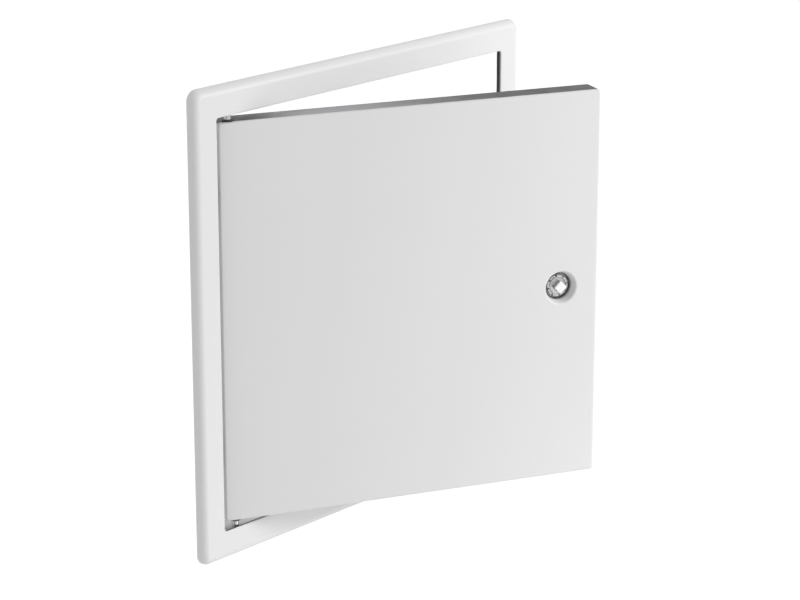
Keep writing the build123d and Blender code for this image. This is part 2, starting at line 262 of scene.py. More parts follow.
class PanelStage(bpy.types.PropertyGroup):
    """Camera, lamps and floor."""

    view_yaw: angle_of("View yaw", "How far the camera looks round from the left", 48.16)
    view_pitch: angle_of("View pitch", "How far the camera looks down", 17.083)
    view_distance: length("View distance", "From the camera to the point that it looks at", 2038.0)
    aim_across: length("Aim across", "The point looked at, right of the opening's middle", 43.9)
    aim_below: length("Aim below", "The point looked at, below the opening's middle", 24.09)
    focal_pixels: FloatProperty(
        name="Focal length", description="In pixels of a picture 800 pixels wide", default=2673.8
    )
    sky: share("Sky", "Even light from all round", 0.592)
    key_power: power("Key power", "Soft lamp on the right", 5.5)
    low_power: power("Low power", "Soft lamp low in front", 0.5)
    floor_drop: length("Floor drop", "How far the floor lies below the rim", 350.0)


class Flow:
    """One output of a material's nodes. Arithmetic on it adds Math nodes."""

    def __init__(self, book, socket):
        self.book = book
        self.socket = socket

    def math(self, operation, *values):
        """A Math node on some values."""
        return self.book.add("ShaderNodeMath", {"operation": operation}, values)

    def __add__(self, other):
        return self.math("ADD", self, other)

    def __radd__(self, other):
        return self.math("ADD", other, self)

    def __sub__(self, other):
        return self.math("SUBTRACT", self, other)

    def __rsub__(self, other):
        return self.math("SUBTRACT", other, self)

    def __mul__(self, other):
        return self.math("MULTIPLY", self, other)

    def __rmul__(self, other):
        return self.math("MULTIPLY", other, self)

    def __truediv__(self, other):
        return self.math("DIVIDE", self, other)

    def __pow__(self, other):
        return self.math("POWER", self, other)

    def __abs__(self):
        return self.math("ABSOLUTE", self)

    def least(self, other):
        """The smaller of two values."""
        return self.math("MINIMUM", self, other)

    def most(self, other):
        """The larger of two values."""
        return self.math("MAXIMUM", self, other)

    def hypot(self, other):
        """The length of a vector with two parts."""
        return (self * self + other * other) ** 0.5

    def around(self, middle, spread):
        """A value that crosses a spread about a middle as this one goes from 0 to 1."""
        return middle + (self - 0.5) * spread

    def ramp(self, start, end):
        """0 at start and 1 at end with soft ends, rising or falling."""
        low, high = min(start, end), max(start, end)
        sockets = {"Value": self, "From Min": low, "From Max": high}
        rise = self.book.add("ShaderNodeMapRange", {"interpolation_type": "SMOOTHSTEP"}, sockets)
        return rise if start < end else 1 - rise


class Book:
    """A material and its nodes."""

    def __init__(self, name):
        self.material = bpy.data.materials.new(name)
        self.material.use_nodes = True
        self.tree = self.material.node_tree
        self.shader = self.tree.nodes["Principled BSDF"]
        self.place = self.add("ShaderNodeTexCoord", output="Object")

    def add(self, kind, settings=None, inputs=(), output=0):
        """A node of a kind: its settings first, then its sockets by order or by name."""
        node = self.tree.nodes.new(kind)
        for key, value in (settings or {}).items():
            setattr(node, key, value)
        for key, value in inputs.items() if isinstance(inputs, dict) else enumerate(inputs):
            self.feed(node.inputs[key], value)
        return Flow(self, node.outputs[output])

    def feed(self, socket, value):
        """Links a Flow to a socket, or sets the socket to a number, colour or vector."""
        if isinstance(value, Flow):
            self.tree.links.new(value.socket, socket)
        else:
            socket.default_value = value

    def shade(self, **values):
        """Feeds the shader's sockets, named with an underscore for each space."""
        for key, value in values.items():
            self.feed(self.shader.inputs[key.replace("_", " ")], value)
        return self.material

    def along(self, direction, origin):
        """How far a place lies along a direction from an origin."""
        settings = {"operation": "DOT_PRODUCT"}
        reach = self.add("ShaderNodeVectorMath", settings, [self.place, tuple(direction)], "Value")
        return reach - float(np.dot(direction, origin))

    def noise(self, cells, detail=2.0):
        """Soft noise from 0 to 1, with a number of cells to the metre."""
        sockets = {"Vector": self.place, "Scale": cells, "Detail": detail}
        return self.add("ShaderNodeTexNoise", {}, sockets, "Fac")

    def crystals(self, cells):
        """A steady random value from 0 to 1 in each crystal."""
        sockets = {"Vector": self.place, "Scale": cells}
        tint = self.add("ShaderNodeTexVoronoi", {}, sockets, "Color")
        return self.add("ShaderNodeSeparateColor", {}, [tint], "Red")

    def pores(self, cells):
        """Distance from the middle of the nearest pore."""
        return self.add("ShaderNodeTexVoronoi", {}, {"Vector": self.place, "Scale": cells}, "Distance")

    def blend(self, amount, first, second):
        """A colour between two others."""
        return self.add("ShaderNodeMix", {"data_type": "RGBA"}, {0: amount, 6: first, 7: second}, 2)

    def bump(self, height, strength, depth):
        """A normal bumped by a height."""
        sockets = {"Height": height, "Strength": strength, "Distance": depth}
        return self.add("ShaderNodeBump", {}, sockets, "Normal")


def tinted(rgba, factor):
    """A colour made lighter or darker."""
    return (*[min(1.0, channel * factor) for channel in rgba[:3]], 1.0)


def mottled(book, amount, rgba, darkest, lightest):
    """A colour that goes from a dark to a light tint of itself by an amount."""
    return book.blend(amount, tinted(rgba, darkest), tinted(rgba, lightest))


def metal_tone(book, rgba, cells, contrast):
    """Colour of bare metal with crystals and soft clouds, and the value that it varies by."""
    cloud = book.noise(cells / CRYSTALS_TO_CLOUD, detail=3.0)
    vary = book.crystals(cells) * CRYSTAL_SHARE + cloud * (1 - CRYSTAL_SHARE)
    return mottled(book, vary, rgba, 1 - contrast, 1 + contrast), vary


def coated(book, finish, coat, outside, painted_sheen):
    """Powder coat where coat is 1; bare metal elsewhere, darker where outside is 1.

    The dark metal carries a painted sheen: lighter where the sheen is laid on, as a painted reflection, and darker
    where it is not, as painted shade.
    """
    cloud = book.noise(cells=9.0)
    white = mottled(book, cloud, finish.coat, darkest=0.985, lightest=1.012)
    zinc, vary = metal_tone(book, finish.inside, cells=190.0, contrast=0.14)
    # Random streaks on the fold, with the painted sheen laid on them
    streaks_and_sheen = book.noise(cells=45.0, detail=3.0).around(painted_sheen, spread=0.25)
    fold = mottled(book, streaks_and_sheen, finish.fold, darkest=0.7, lightest=3.0)
    bare = book.blend(outside, zinc, fold)
    bare_rough = vary.around(finish.zinc_roughness, spread=0.15)
    coat_rough = cloud.around(finish.coat_roughness, spread=0.05)
    peel = book.noise(cells=620.0, detail=1.0)
    height = peel * coat + book.noise(cells=4200.0, detail=1.0) * GRAIN_HEIGHT
    return book.shade(
        Base_Color=book.blend(coat, bare, white),
        Roughness=bare_rough + (coat_rough - bare_rough) * coat,
        Metallic=1 - coat,
        Normal=book.bump(height, strength=0.16, depth=0.06 * MM),
        Specular_Tint=tinted(WHITE, finish.edge_shine),
    )


def under_bend(bend, from_side, from_face):
    """How deep a place lies under the skin of a fold: 0 outside it, the sheet's thickness inside."""
    side = (bend - from_side).most(0.0)
    face = (bend - from_face).most(0.0)
    return bend - side.hypot(face)


def rim_coat(finish):
    """Rim: coated outside and round the bend of its lip, bare in the opening and behind."""
    book = Book("rim_white_coat")
    x = abs(book.along((1, 0, 0), (0, 0, 0)))
    z = abs(book.along((0, 0, 1), (0, 0, 0)))
    from_face = book.along((0, 1, 0), RIM_LOW)
    corner_x = (x - (RIM_HIGH.x - RIM_CORNER)).most(0.0)
    corner_z = (z - (RIM_HIGH.z - RIM_CORNER)).most(0.0)
    from_side = RIM_CORNER - corner_x.hypot(corner_z)
    skin = under_bend(RIM_BEND, from_side, from_face)
    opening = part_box("seal_right")[0].x
    past_lip = x.most(z) - opening
    lip = past_lip.ramp(*LIP_ZONE)
    coat = skin.ramp(*SKIN_ZONE) * (1 - lip) + lip * from_face.ramp(*LIP_COAT_ZONE)
    return coated(book, finish, coat, lip, 0.0)


def door_coat(finish, sizes):
    """Door: coated on its face, fading to bare steel round its folds, with painted shade at the dish's foot and a
    painted sheen on the folds.
    """
    book = Book("door_white_coat")
    low, high = door_reach("door_leaf")
    half = (high - low) / 2
    middle = KEY_POINT + DOOR_ACROSS * (low[0] + high[0]) / 2
    corner_x = (abs(book.along(DOOR_ACROSS, middle)) - (half[0] - DOOR_CORNER)).most(0.0)
    corner_z = (abs(book.along(UPRIGHT, middle)) - (half[1] - DOOR_CORNER)).most(0.0)
    from_side = DOOR_CORNER - corner_x.hypot(corner_z)
    depth = book.along(DOOR_BACK, KEY_POINT)
    from_lock = book.along(DOOR_ACROSS, KEY_POINT).hypot(book.along(UPRIGHT, KEY_POINT))
    slope = (DISH_R - DISH_FLOOR_R) / DISH_DEPTH
    dish_wall = (from_lock + depth * slope - DISH_R) / hypot(1, slope)
    skin = under_bend(DOOR_BEND, from_side, depth).least(dish_wall.most(depth - DISH_DEPTH))
    outside = skin.ramp(*SKIN_ZONE)
    ragged = book.noise(cells=90.0, detail=3.0).around(depth, spread=sizes.coat_fade)
    fade_end = sizes.coat_reach + sizes.coat_fade
    on_fold = from_side.ramp(DOOR_CORNER, DOOR_BEND)
    fade = ragged.ramp(sizes.coat_reach, fade_end) * on_fold
    # Painted shade: the foot of the dish's wall, round the lock's flange, darkened where shade falls in the recess
    in_dish = from_lock.ramp(DISH_R + DISH_EDGE, DISH_R) * from_lock.ramp(FLANGE_R, DISH_FLOOR_R)
    foot = DISH_FOOT_SHADE * in_dish * depth.ramp(DISH_DEPTH / 2, DISH_DEPTH - DISH_FOOT)
    # Painted sheen on the folds: painted shade near the hinge, a painted reflection further along, none at the
    # dish's foot
    from_hinge = book.along(DOOR_ACROSS, HINGE_POINT)
    painted_sheen = from_hinge.ramp(0.0, PAINTED_SHEEN_NEAR) * from_hinge.ramp(PAINTED_SHEEN_FAR, PAINTED_SHEEN_NEAR) * (1 - foot)
    return coated(book, finish, outside * (1 - fade) * (1 - foot), outside, painted_sheen)


def zinc_sheet(finish):
    """Zinc-plated sheet."""
    book = Book("zinc_sheet")
    tone, vary = metal_tone(book, finish.zinc, cells=300.0, contrast=0.18)
    rough = vary.around(finish.zinc_roughness, spread=0.18)
    normal = book.bump(book.noise(cells=2600.0), strength=0.12, depth=0.04 * MM)
    return book.shade(Base_Color=tone, Roughness=rough, Metallic=1.0, Normal=normal)


def pin_steel(finish):
    """Turned steel."""
    book = Book("pin_steel")
    tone, vary = metal_tone(book, finish.steel, cells=900.0, contrast=0.12)
    rough = vary.around(middle=0.31, spread=0.14)
    normal = book.bump(book.noise(cells=3800.0), strength=0.1, depth=0.03 * MM)
    return book.shade(Base_Color=tone, Roughness=rough, Metallic=1.0, Normal=normal)


def seal_foam(finish):
    """Black foam with fine pores."""
    book = Book("seal_foam")
    pores = book.pores(cells=1500.0)
    tone = mottled(book, pores.ramp(*PORE_ZONE), finish.foam, darkest=0.5, lightest=1.4)
    normal = book.bump(pores, strength=0.5, depth=0.2 * MM)
    return book.shade(Base_Color=tone, Roughness=pores.around(middle=0.9, spread=0.1), Normal=normal)


def bush_nylon(finish):
    """Black nylon, a little waxy."""
    book = Book("bush_nylon")
    cloud = book.noise(cells=900.0, detail=3.0)
    tone = mottled(book, cloud, finish.nylon, darkest=0.8, lightest=1.3)
    normal = book.bump(book.noise(cells=3000.0), strength=0.15, depth=0.05 * MM)
    return book.shade(Base_Color=tone, Roughness=cloud.around(middle=0.475, spread=0.15), Normal=normal)


def cast_tone(book, finish):
    """Colour of the die-cast metal, and the value that it varies by."""
    return metal_tone(book, finish.casting, cells=700.0, contrast=0.15)


def lock_casting(finish):
    """Dull die-cast metal."""
    book = Book("lock_casting")
    tone, vary = cast_tone(book, finish)
    rough = vary.around(middle=0.38, spread=0.16)
    normal = book.bump(book.noise(cells=2400.0, detail=3.0), strength=0.25, depth=0.06 * MM)
    return book.shade(Base_Color=tone, Roughness=rough, Metallic=1.0, Normal=normal)


def key_plating(finish):
    """Bright front end of the spigot, dull casting on its sides, the head and the shank."""
    book = Book("key_plating")
    depth = book.along(DOOR_BACK, KEY_POINT)
    dull = depth.ramp(*KEY_DULL_ZONE)
    casting, vary = cast_tone(book, finish)
    return book.shade(
        Base_Color=book.blend(dull, finish.key, casting),
        Roughness=vary.around(middle=0.33, spread=0.14),
        Metallic=dull.around(middle=0.65, spread=0.2),
        Normal=book.bump(book.noise(cells=2800.0, detail=3.0), strength=0.15, depth=0.04 * MM),
    )


def rounded(corners, radii, steps=5):
    """A closed profile through corner points, each one rounded by an arc.

    An arc's middle lies on the corner's bisector, at its radius over the sine of half the
    corner's angle, and the arc swings evenly from one tangent point to the other.
    """
    points = np.array(corners, float)
    radius = np.array(radii, float)[:, None]
    before = np.roll(points, 1, 0) - points
    after = np.roll(points, -1, 0) - points
    before /= np.linalg.norm(before, axis=1, keepdims=True)
    after /= np.linalg.norm(after, axis=1, keepdims=True)
    half = np.arccos((before * after).sum(1, keepdims=True)) / 2
    bisector = (before + after) / (2 * np.cos(half))
    middle = points + bisector * radius / np.sin(half)
    start = points + before * radius / np.tan(half) - middle
    end = points + after * radius / np.tan(half) - middle
    turn = (pi - 2 * half)[:, None]
    part = np.linspace(0.0, 1.0, steps + 1)[None, :, None]
    swing = np.sin((1 - part) * turn) * start[:, None] + np.sin(part * turn) * end[:, None]
    profile = (middle[:, None] + swing / np.sin(turn)).reshape(-1, 2)
    steps_taken = np.linalg.norm(np.diff(profile, axis=0, prepend=profile[-1:]), axis=1)
    return profile[steps_taken > MERGE]


def angles(turns):
    """Even angles round an axis."""
    return np.linspace(0.0, ROUND, turns, endpoint=False)


def quarter(steps):
    """Even angles over a quarter turn, both ends among them."""
    return np.linspace(0.0, pi / 2, steps)


def by_lock(radius, depth, angle):
    """Places from a radius and an angle round the lock's axis and a depth behind the door's face."""
    radius, depth, angle = np.broadcast_arrays(radius, depth, angle)
    across = (radius * np.cos(angle))[..., None] * DOOR_ACROSS
    up = (radius * np.sin(angle))[..., None] * UPRIGHT
    return KEY_POINT + across + up + depth[..., None] * DOOR_BACK


def by_hinge(radius, height, angle):
    """Places from a radius and an angle round the hinge line and a height."""
    radius, height, angle = np.broadcast_arrays(radius, height, angle)
    spot = np.stack([radius * np.cos(angle), radius * np.sin(angle), height], -1)
    return spot + HINGE_POINT * (1, 1, 0)


def turned(profile, place, turns=96):
    """A surface of turning: the profile's radius and depth carried round an axis."""
    return place(profile[:, :1], profile[:, 1:], angles(turns))


def square_radius(angle, half, corner):
    """From a square's middle to its edge along an angle, with its corners rounded.

    Near a corner the edge is where the ray meets a circle about the corner's middle.
    """
    longer = np.maximum(abs(np.cos(angle)), abs(np.sin(angle)))
    shorter = np.minimum(abs(np.cos(angle)), abs(np.sin(angle)))
    core = half - corner
    reach = core * (longer + shorter)
    arc = reach + np.sqrt(np.maximum(reach**2 - 2 * core**2 + corner**2, 0.0))
    return np.where(half / longer * shorter <= core, half / longer, arc)


def hexagon_radius(angle, flats):
    """From a hexagon's middle to its edge along an angle, with a corner at angle 0."""
    return flats / 2 / np.cos(angle % (pi / 3) - pi / 6)


def coned_hexagon(angle, flats, from_face):
    """A hexagon's radius cut off by a 30 degree cone that starts at the flats on its face."""
    cone = CONE_START * flats / 2 + from_face / tan(CONE_ANGLE)
    return np.minimum(hexagon_radius(angle, flats), cone)


def quads(rows, columns, ring):
    """Four-sided faces over a grid that closes round its columns, and round its rows if a ring."""
    index = np.arange(rows * columns).reshape(rows, columns)
    index = np.concatenate([index, index[:, :1]], 1)
    if ring:
        index = np.concatenate([index, index[:1]], 0)
    sides = [index[:-1, :-1], index[1:, :-1], index[1:, 1:], index[:-1, 1:]]
    return np.stack(sides, -1).reshape(-1, 4)


def outwards(points, faces):
    """Faces turned so that their closed surface holds a positive volume."""
    a, b, c, d = (points[faces[:, side]] - points.mean(0) for side in range(4))
    volume = (a * np.cross(b, c)).sum() + (a * np.cross(c, d)).sum()
    return faces if volume > 0 else faces[:, ::-1]


def surface_mesh(name, surfaces):
    """A mesh of closed surfaces: each a grid of points, and whether its rows close into a ring."""
    points, faces, count = [], [], 0
    for grid, ring in surfaces:
        flat = grid.reshape(-1, 3)
        faces.append(outwards(flat, quads(*grid.shape[:2], ring)) + count)
        points.append(flat)
        count += len(flat)
    mesh = bpy.data.meshes.new(name)
    mesh.from_pydata(np.concatenate(points).tolist(), [], np.concatenate(faces).tolist())
    joined = bmesh.new()
    joined.from_mesh(mesh)
    bmesh.ops.remove_doubles(joined, verts=joined.verts, dist=MERGE)
    joined.to_mesh(mesh)
    joined.free()
    mesh.shade_smooth()
    return mesh


def add_piece(name, surfaces, material, body, node=None):
    """A piece of closed surfaces with its finish, on a body and in place of a node."""
    mesh = surface_mesh(name, surfaces)
    mesh.materials.append(material)
    piece = bpy.data.objects.new(name, mesh)
    bpy.context.scene.collection.objects.link(piece)
    piece.modifiers.new("flat_faces", "WEIGHTED_NORMAL").weight = 100
    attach(piece, body)
    if node:
        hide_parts(node)


def foam_strip(box, long_axis, inner_side, sizes):
    """A foam strip: a rounded section carried along, waving a little, with rounded ends.

    Its section is stepped where the rim's lip reaches behind the flange. The open face waves by
    two sines along its length, and each end shrinks by the root of the way to the end. The rows
    lie closer at both ends, where the strip closes.
    """
    low, high = (np.array(corner) for corner in box)
    wide_axis = 2 - long_axis
    width = high[wide_axis] - low[wide_axis]
    front, back = low[1], high[1]
    step = front + LIP_DEPTH - SHEET
    corners = [(SHEET, front), (width, front), (width, back), (0, back), (0, step), (SHEET, step)]
    soft = sizes.foam_round
    section = rounded(corners, [0, soft, soft, soft, 0.3 * soft, 0])
    middle = section.mean(0)
    run = np.concatenate([[0.0, 0.0, 0.001], np.linspace(0.01, 0.99, 99), [0.999, 1.0, 1.0]])
    along = low[long_axis] + run * (high[long_axis] - low[long_axis])
    to_end = np.minimum(along - low[long_axis], high[long_axis] - along)
    fill = FOAM_END_FILL + (1 - FOAM_END_FILL) * np.sqrt(np.minimum(to_end / soft, 1.0))
    fill[[0, -1]] = 0.0
    shape = middle + (section - middle) * fill[:, None, None]
    short, long = FOAM_RIPPLES
    ripple = np.sin(run * short + long_axis) + np.sin(run * long + inner_side)
    wave = sizes.foam_wave * (2 + ripple) / 2
    across = shape[..., 0] + wave[:, None] * (1 - shape[..., 0] / width)
    grid = np.empty((*across.shape, 3))
    grid[..., long_axis] = along[:, None]
    grid[..., wide_axis] = low[wide_axis] + across if inner_side < 0 else high[wide_axis] - across
    grid[..., 1] = shape[..., 1]
    return grid


def hinge_pin(side, sizes):
    """A turned pin: domed head, collar and rounded end, on the upper or lower side."""
    low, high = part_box("hinge_pin_upper")
    tab_top = high.z - PIN_HEAD_THICK
    tab_foot = tab_top - BRACKET_SHEET
    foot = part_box("hinge_bush_upper")[1].z + SEAT_CLEAR
    corners = [
        (0, low.z), (PIN_R, low.z), (PIN_R, foot), (COLLAR_R, foot), (COLLAR_R, tab_foot), (PIN_R, tab_foot),
        (PIN_R, tab_top), (PIN_HEAD_R, tab_top), (PIN_HEAD_R, high.z), (0, high.z),
    ]
    soft = sizes.edge_round
    profile = rounded(corners, [0, 2 * soft, 0, soft, 0, 0, 0, 0, 3 * soft, 0])
    return turned(profile * (1, side), by_hinge, turns=64)


def hinge_bush(side, sizes):
    """A turned bush: a rounded flange on the door's edge and a sleeve inside."""
    low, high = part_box("hinge_bush_upper")
    shoulder = high.z - BUSH_FLANGE_THICK
    bore = PIN_R + RUN_CLEAR
    corners = [
        (bore, low.z), (BUSH_R, low.z), (BUSH_R, shoulder), (BUSH_FLANGE_R, shoulder),
        (BUSH_FLANGE_R, high.z), (bore, high.z),
    ]
    soft = sizes.edge_round
    return turned(rounded(corners, [0, soft, 0, 0, soft, soft]) * (1, side), by_hinge, turns=64)


def lock_housing(sizes):
    """The cast housing: notched flange, sunk seat, threaded neck and bore.

    A notch takes a slot of its width and depth out of the flange's radius. The flange's front
    edge is a quarter round, tighter in the notches. The thread is a cosine ridge that climbs one
    pitch in each turn and dies out at both ends.
    """
    angle = angles(turns=480)
    step = ROUND / sizes.notch_count
    from_notch = abs((angle + step / 4) % step - step / 2) * FLANGE_R
    cut = 1 / (1 + np.exp((from_notch - sizes.notch_width / 2) / NOTCH_SOFT))
    rim = FLANGE_R - sizes.notch_depth * cut
    face = DISH_DEPTH - FLANGE_THICK
    seat = HEAD_BACK + SEAT_CLEAR
    seat_r = HEAD_R + RUN_CLEAR
    end = door_reach("lock_housing")[1][2]
    soft = sizes.edge_round
    run = np.arange(DISH_DEPTH + soft, end - soft, sizes.thread_pitch / 8)
    ends = np.clip(np.minimum(run - run[0], run[-1] - run) / sizes.thread_pitch, 0.0, 1.0)
    ridge = 0.5 - 0.5 * np.cos(ROUND * run[:, None] / sizes.thread_pitch - angle)
    thread = NECK_R - sizes.thread_depth * ridge * ends[:, None]
    inside = np.array([BORE_R, BORE_R, seat_r, seat_r, seat_r + 0.5 * soft])[:, None] + 0 * angle
    bend = quarter(steps=7)
    edge_round = sizes.flange_round * (1 - (1 - NOTCH_KEEPS_ROUND) * cut)
    flange = rim + edge_round * np.append(np.sin(bend) - 1, 0.0)[:, None]
    neck = np.array([NECK_R])[:, None] + 0 * angle
    tail = np.array([NECK_R, NECK_R - soft, BORE_R])[:, None] + 0 * angle
    radius = np.concatenate([inside, flange, neck, thread, tail])
    front = [end - soft, seat, seat, face + 0.5 * soft, face]
    edge = face + sizes.flange_round * (1 - np.cos(bend))
    depth = np.concatenate([front, edge, [DISH_DEPTH, DISH_DEPTH], run, [end - soft, end, end]])
    return by_lock(radius, depth[:, None], angle)


def lock_nut():
    """The hexagon nut: both faces coned off at the corners, with a chamfered bore."""
    angle = angles(turns=240)
    low, high = door_reach("lock_nut")
    thick = high[2] - low[2]
    cone = np.linspace(0.0, CONE_SHARE, 7) * thick
    near = np.concatenate([cone, cone[::-1]])
    outside = coned_hexagon(angle, NUT_FLATS, near[:, None])
    bore = np.array([NECK_R, NECK_R + BORE_CHAMFER])[:, None] + 0 * angle
    radius = np.concatenate([bore, outside, bore[::-1]])
    ends = [thick, thick - BORE_CHAMFER]
    depth = np.concatenate([[BORE_CHAMFER, 0.0], cone, thick - cone[::-1], ends])
    return by_lock(radius, low[2] + depth[:, None], angle)


def lock_spindle(sizes):
    """The turning core: chamfered square spigot, round head, shank and square tail.

    Each row has its own outline, a square or a circle, and the rows between blend by themselves.
    """
    angle = angles(turns=240)
    low, high = door_reach("lock_spindle")
    chamfer = sizes.key_chamfer
    half = KEY_SQUARE / 2
    soft = sizes.edge_round
    shoulder = door_reach("cam_tongue")[0][2]
    circle = 0 * angle

    def spigot(inset):
        return square_radius(angle + pi / 4, half - inset, KEY_CORNER)

    tail = square_radius(angle, TAIL_SQUARE / 2, TAIL_CORNER)
    head = circle + HEAD_R
    rows = [(circle, low[2] + SPIGOT_DIP), (circle + SPIGOT_DIP_R, low[2])]
    rows += [(spigot(aside * chamfer), low[2] + down * chamfer) for aside, down in CHAMFER_STEPS]
    rows += [(spigot(-aside * soft), HEAD_FRONT - up * soft) for aside, up in FILLET_STEPS]
    rows += [(head - aside * soft, HEAD_FRONT + down * soft) for aside, down in FILLET_STEPS[::-1]]
    rows += [
        (head, HEAD_BACK),
        (circle + SPINDLE_R, HEAD_BACK),
        (circle + SPINDLE_R, shoulder),
        (tail, shoulder),
        (tail, high[2]),
        (circle, high[2]),
    ]
    radius = np.array([row[0] for row in rows])
    depth = np.array([row[1] for row in rows])[:, None]
    return by_lock(radius, depth, angle)


def cam_tongue(sizes):
    """The stamped cam: a round-ended blade with softened edges and a square hole.

    Its outline is a run of middles with a direction each: half a turn round the far end, back
    along one side, half a turn round the hole and out along the other side.
    """
    low, high = door_reach("cam_tongue")
    reach = high[1] - CAM_WIDTH / 2
    swing = np.linspace(-pi / 2, pi / 2, 33)
    slide = np.linspace(0.0, 1.0, 25)[1:-1]
    flat = np.ones_like(slide)
    middle = reach * np.concatenate([np.ones_like(swing), slide[::-1], np.zeros_like(swing), slide])
    facing = np.concatenate([swing, flat * pi / 2, swing + pi, -flat * pi / 2])
    thick = high[2] - low[2]
    soft = sizes.edge_round
    bend = quarter(steps=5)
    lift = soft * (1 - np.cos(bend))
    inset = soft * (1 - np.sin(bend))
    inset = np.concatenate([inset, inset[::-1]])[:, None]
    depth = np.concatenate([lift, thick - lift[::-1]])
    along = middle + (CAM_WIDTH / 2 - inset) * np.cos(facing)
    aside = (CAM_WIDTH / 2 - inset) * np.sin(facing)
    angle = np.arctan2(aside[0], along[0])
    hole = square_radius(angle, TAIL_SQUARE / 2, HOLE_CORNER) * np.ones((2, 1))
    along = np.concatenate([along, hole * np.cos(angle)])
    aside = np.concatenate([aside, hole * np.sin(angle)])
    depth = np.concatenate([depth, [thick, 0.0]]) + low[2]
    radius = np.hypot(along, aside)
    return by_lock(radius, depth[:, None], np.arctan2(along, aside))


def cam_bolt(sizes):
    """The washer and the coned hexagon head that hold the cam."""
    seat = door_reach("cam_tongue")[1][2]
    top = door_reach("cam_bolt")[1][2]
    soft = sizes.edge_round
    base = seat + WASHER_THICK
    corners = [(0, seat), (WASHER_R, seat), (WASHER_R, base), (0, base)]
    washer = turned(rounded(corners, [0, soft, soft, 0]), by_lock)
    angle = angles(turns=240)
    height = top - base
    cone = np.linspace(CONE_SHARE, 0.0, 7) * height
    side = coned_hexagon(angle, BOLT_FLATS, np.concatenate([[height], cone])[:, None])
    dip = np.array([[BOLT_DIP_SHARE * BOLT_FLATS / 2], [0.0]]) + 0 * angle
    radius = np.concatenate([[0 * angle], side, dip])
    sunk = height - BOLT_DIP
    depth = np.concatenate([[0.0, 0.0], height - cone, [sunk, sunk]]) + base
    return [(washer, False), (by_lock(radius, depth[:, None], angle), False)]


def weld_places():
    """Where the brackets, lugs and keeper are welded to the back of the rim."""
    for side in ("left_upper", "left_lower", "right_upper", "right_lower"):
        low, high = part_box(f"wall_lug_{side}")
        outer = low.x if "left" in side else high.x
        inwards = 1 if "left" in side else -1
        yield outer + inwards * WELD_FROM_SIDE, low.y + LUG_SHEET, (low.z + high.z) / 2
    low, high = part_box("strike_bracket")
    bracket_back = RIM_LOW.y + SHEET + BRACKET_SHEET
    for part in KEEPER_WELDS:
        yield high.x - WELD_FROM_SIDE, bracket_back, low.z + part * (high.z - low.z)
    for side in ("upper", "lower"):
        low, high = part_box(f"hinge_bracket_{side}")
        edge = high.z - WELD_FROM_EDGE if side == "upper" else low.z + WELD_FROM_EDGE
        for from_end in BRACKET_WELDS:
            yield high.x - from_end, bracket_back, edge


def weld_spot(place, sizes):
    """A weld mark: a low ring with a shallow middle, sunk into the sheet."""
    r = sizes.weld_radius
    corners = [
        (0, WELD_MIDDLE), (WELD_MIDDLE_SHARE * r, WELD_MIDDLE), (WELD_RING_SHARE * r, WELD_RING),
        (r, 0.0), (r, -WELD_SUNK), (0, -WELD_SUNK),
    ]
    profile = rounded(corners, [0, WELD_SOFT, WELD_SOFT, WELD_FOOT_SOFT, 0, 0])

    def on_sheet(radius, height, angle):
        radius, height, angle = np.broadcast_arrays(radius, height, angle)
        return np.stack([radius * np.cos(angle), height, radius * np.sin(angle)], -1) + place

    return turned(profile, on_sheet, turns=40)


def paint(node, material):
    """Gives a CAD node its finish."""
    mesh = frame["nodes"][node].data
    mesh.materials.clear()
    mesh.materials.append(material)


class PANEL_OT_coat(bpy.types.Operator):
    """Coat the rim and the door leaf"""

    bl_idname = "access_panel.coat"
    bl_label = "Coat rim and door"

    def execute(self, context):
        finish = context.scene.panel_finish
        paint("frame_rim", rim_coat(finish))
        paint("door_leaf", door_coat(finish, context.scene.panel_sizes))
        return {"FINISHED"}


class PANEL_OT_seals(bpy.types.Operator):
    """Lay the foam seals round the opening"""

    bl_idname = "access_panel.seals"
    bl_label = "Lay seals"

    def execute(self, context):
        foam = seal_foam(context.scene.panel_finish)
        sizes = context.scene.panel_sizes
        for side, long_axis, inner in (("top", 0, -1), ("bottom", 0, 1), ("left", 2, 1), ("right", 2, -1)):
            node = f"seal_{side}"
            strip = foam_strip(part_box(node), long_axis, inner, sizes)
            add_piece(f"foam_{side}", [(strip, False)], foam, "frame", node)
        return {"FINISHED"}


class PANEL_OT_hinges(bpy.types.Operator):
    """Turn the hinge pins and bushes"""

    bl_idname = "access_panel.hinges"
    bl_label = "Turn pins and bushes"

    def execute(self, context):
        finish, sizes = context.scene.panel_finish, context.scene.panel_sizes
        steel, nylon = pin_steel(finish), bush_nylon(finish)
        for name, side in (("upper", 1), ("lower", -1)):
            pin, bush = f"hinge_pin_{name}", f"hinge_bush_{name}"
            turned_pin = [(hinge_pin(side, sizes), False)]
            turned_bush = [(hinge_bush(side, sizes), True)]
            add_piece(f"turned_pin_{name}", turned_pin, steel, "frame", pin)
            add_piece(f"turned_bush_{name}", turned_bush, nylon, "door", bush)
        return {"FINISHED"}


class PANEL_OT_brackets(bpy.types.Operator):
    """Plate the folded brackets, lugs and keeper, and mark their welds"""

    bl_idname = "access_panel.brackets"
    bl_label = "Plate brackets"

    def execute(self, context):
        zinc = zinc_sheet(context.scene.panel_finish)
        for row in frame["record"]["subparts"]:
            if row["material_slot"] == "zinc_sheet" and row["node"] != "cam_tongue":
                paint(row["node"], zinc)
        spots = [(weld_spot(place, context.scene.panel_sizes), False) for place in weld_places()]
        add_piece("weld_marks", spots, zinc, "frame")
        return {"FINISHED"}


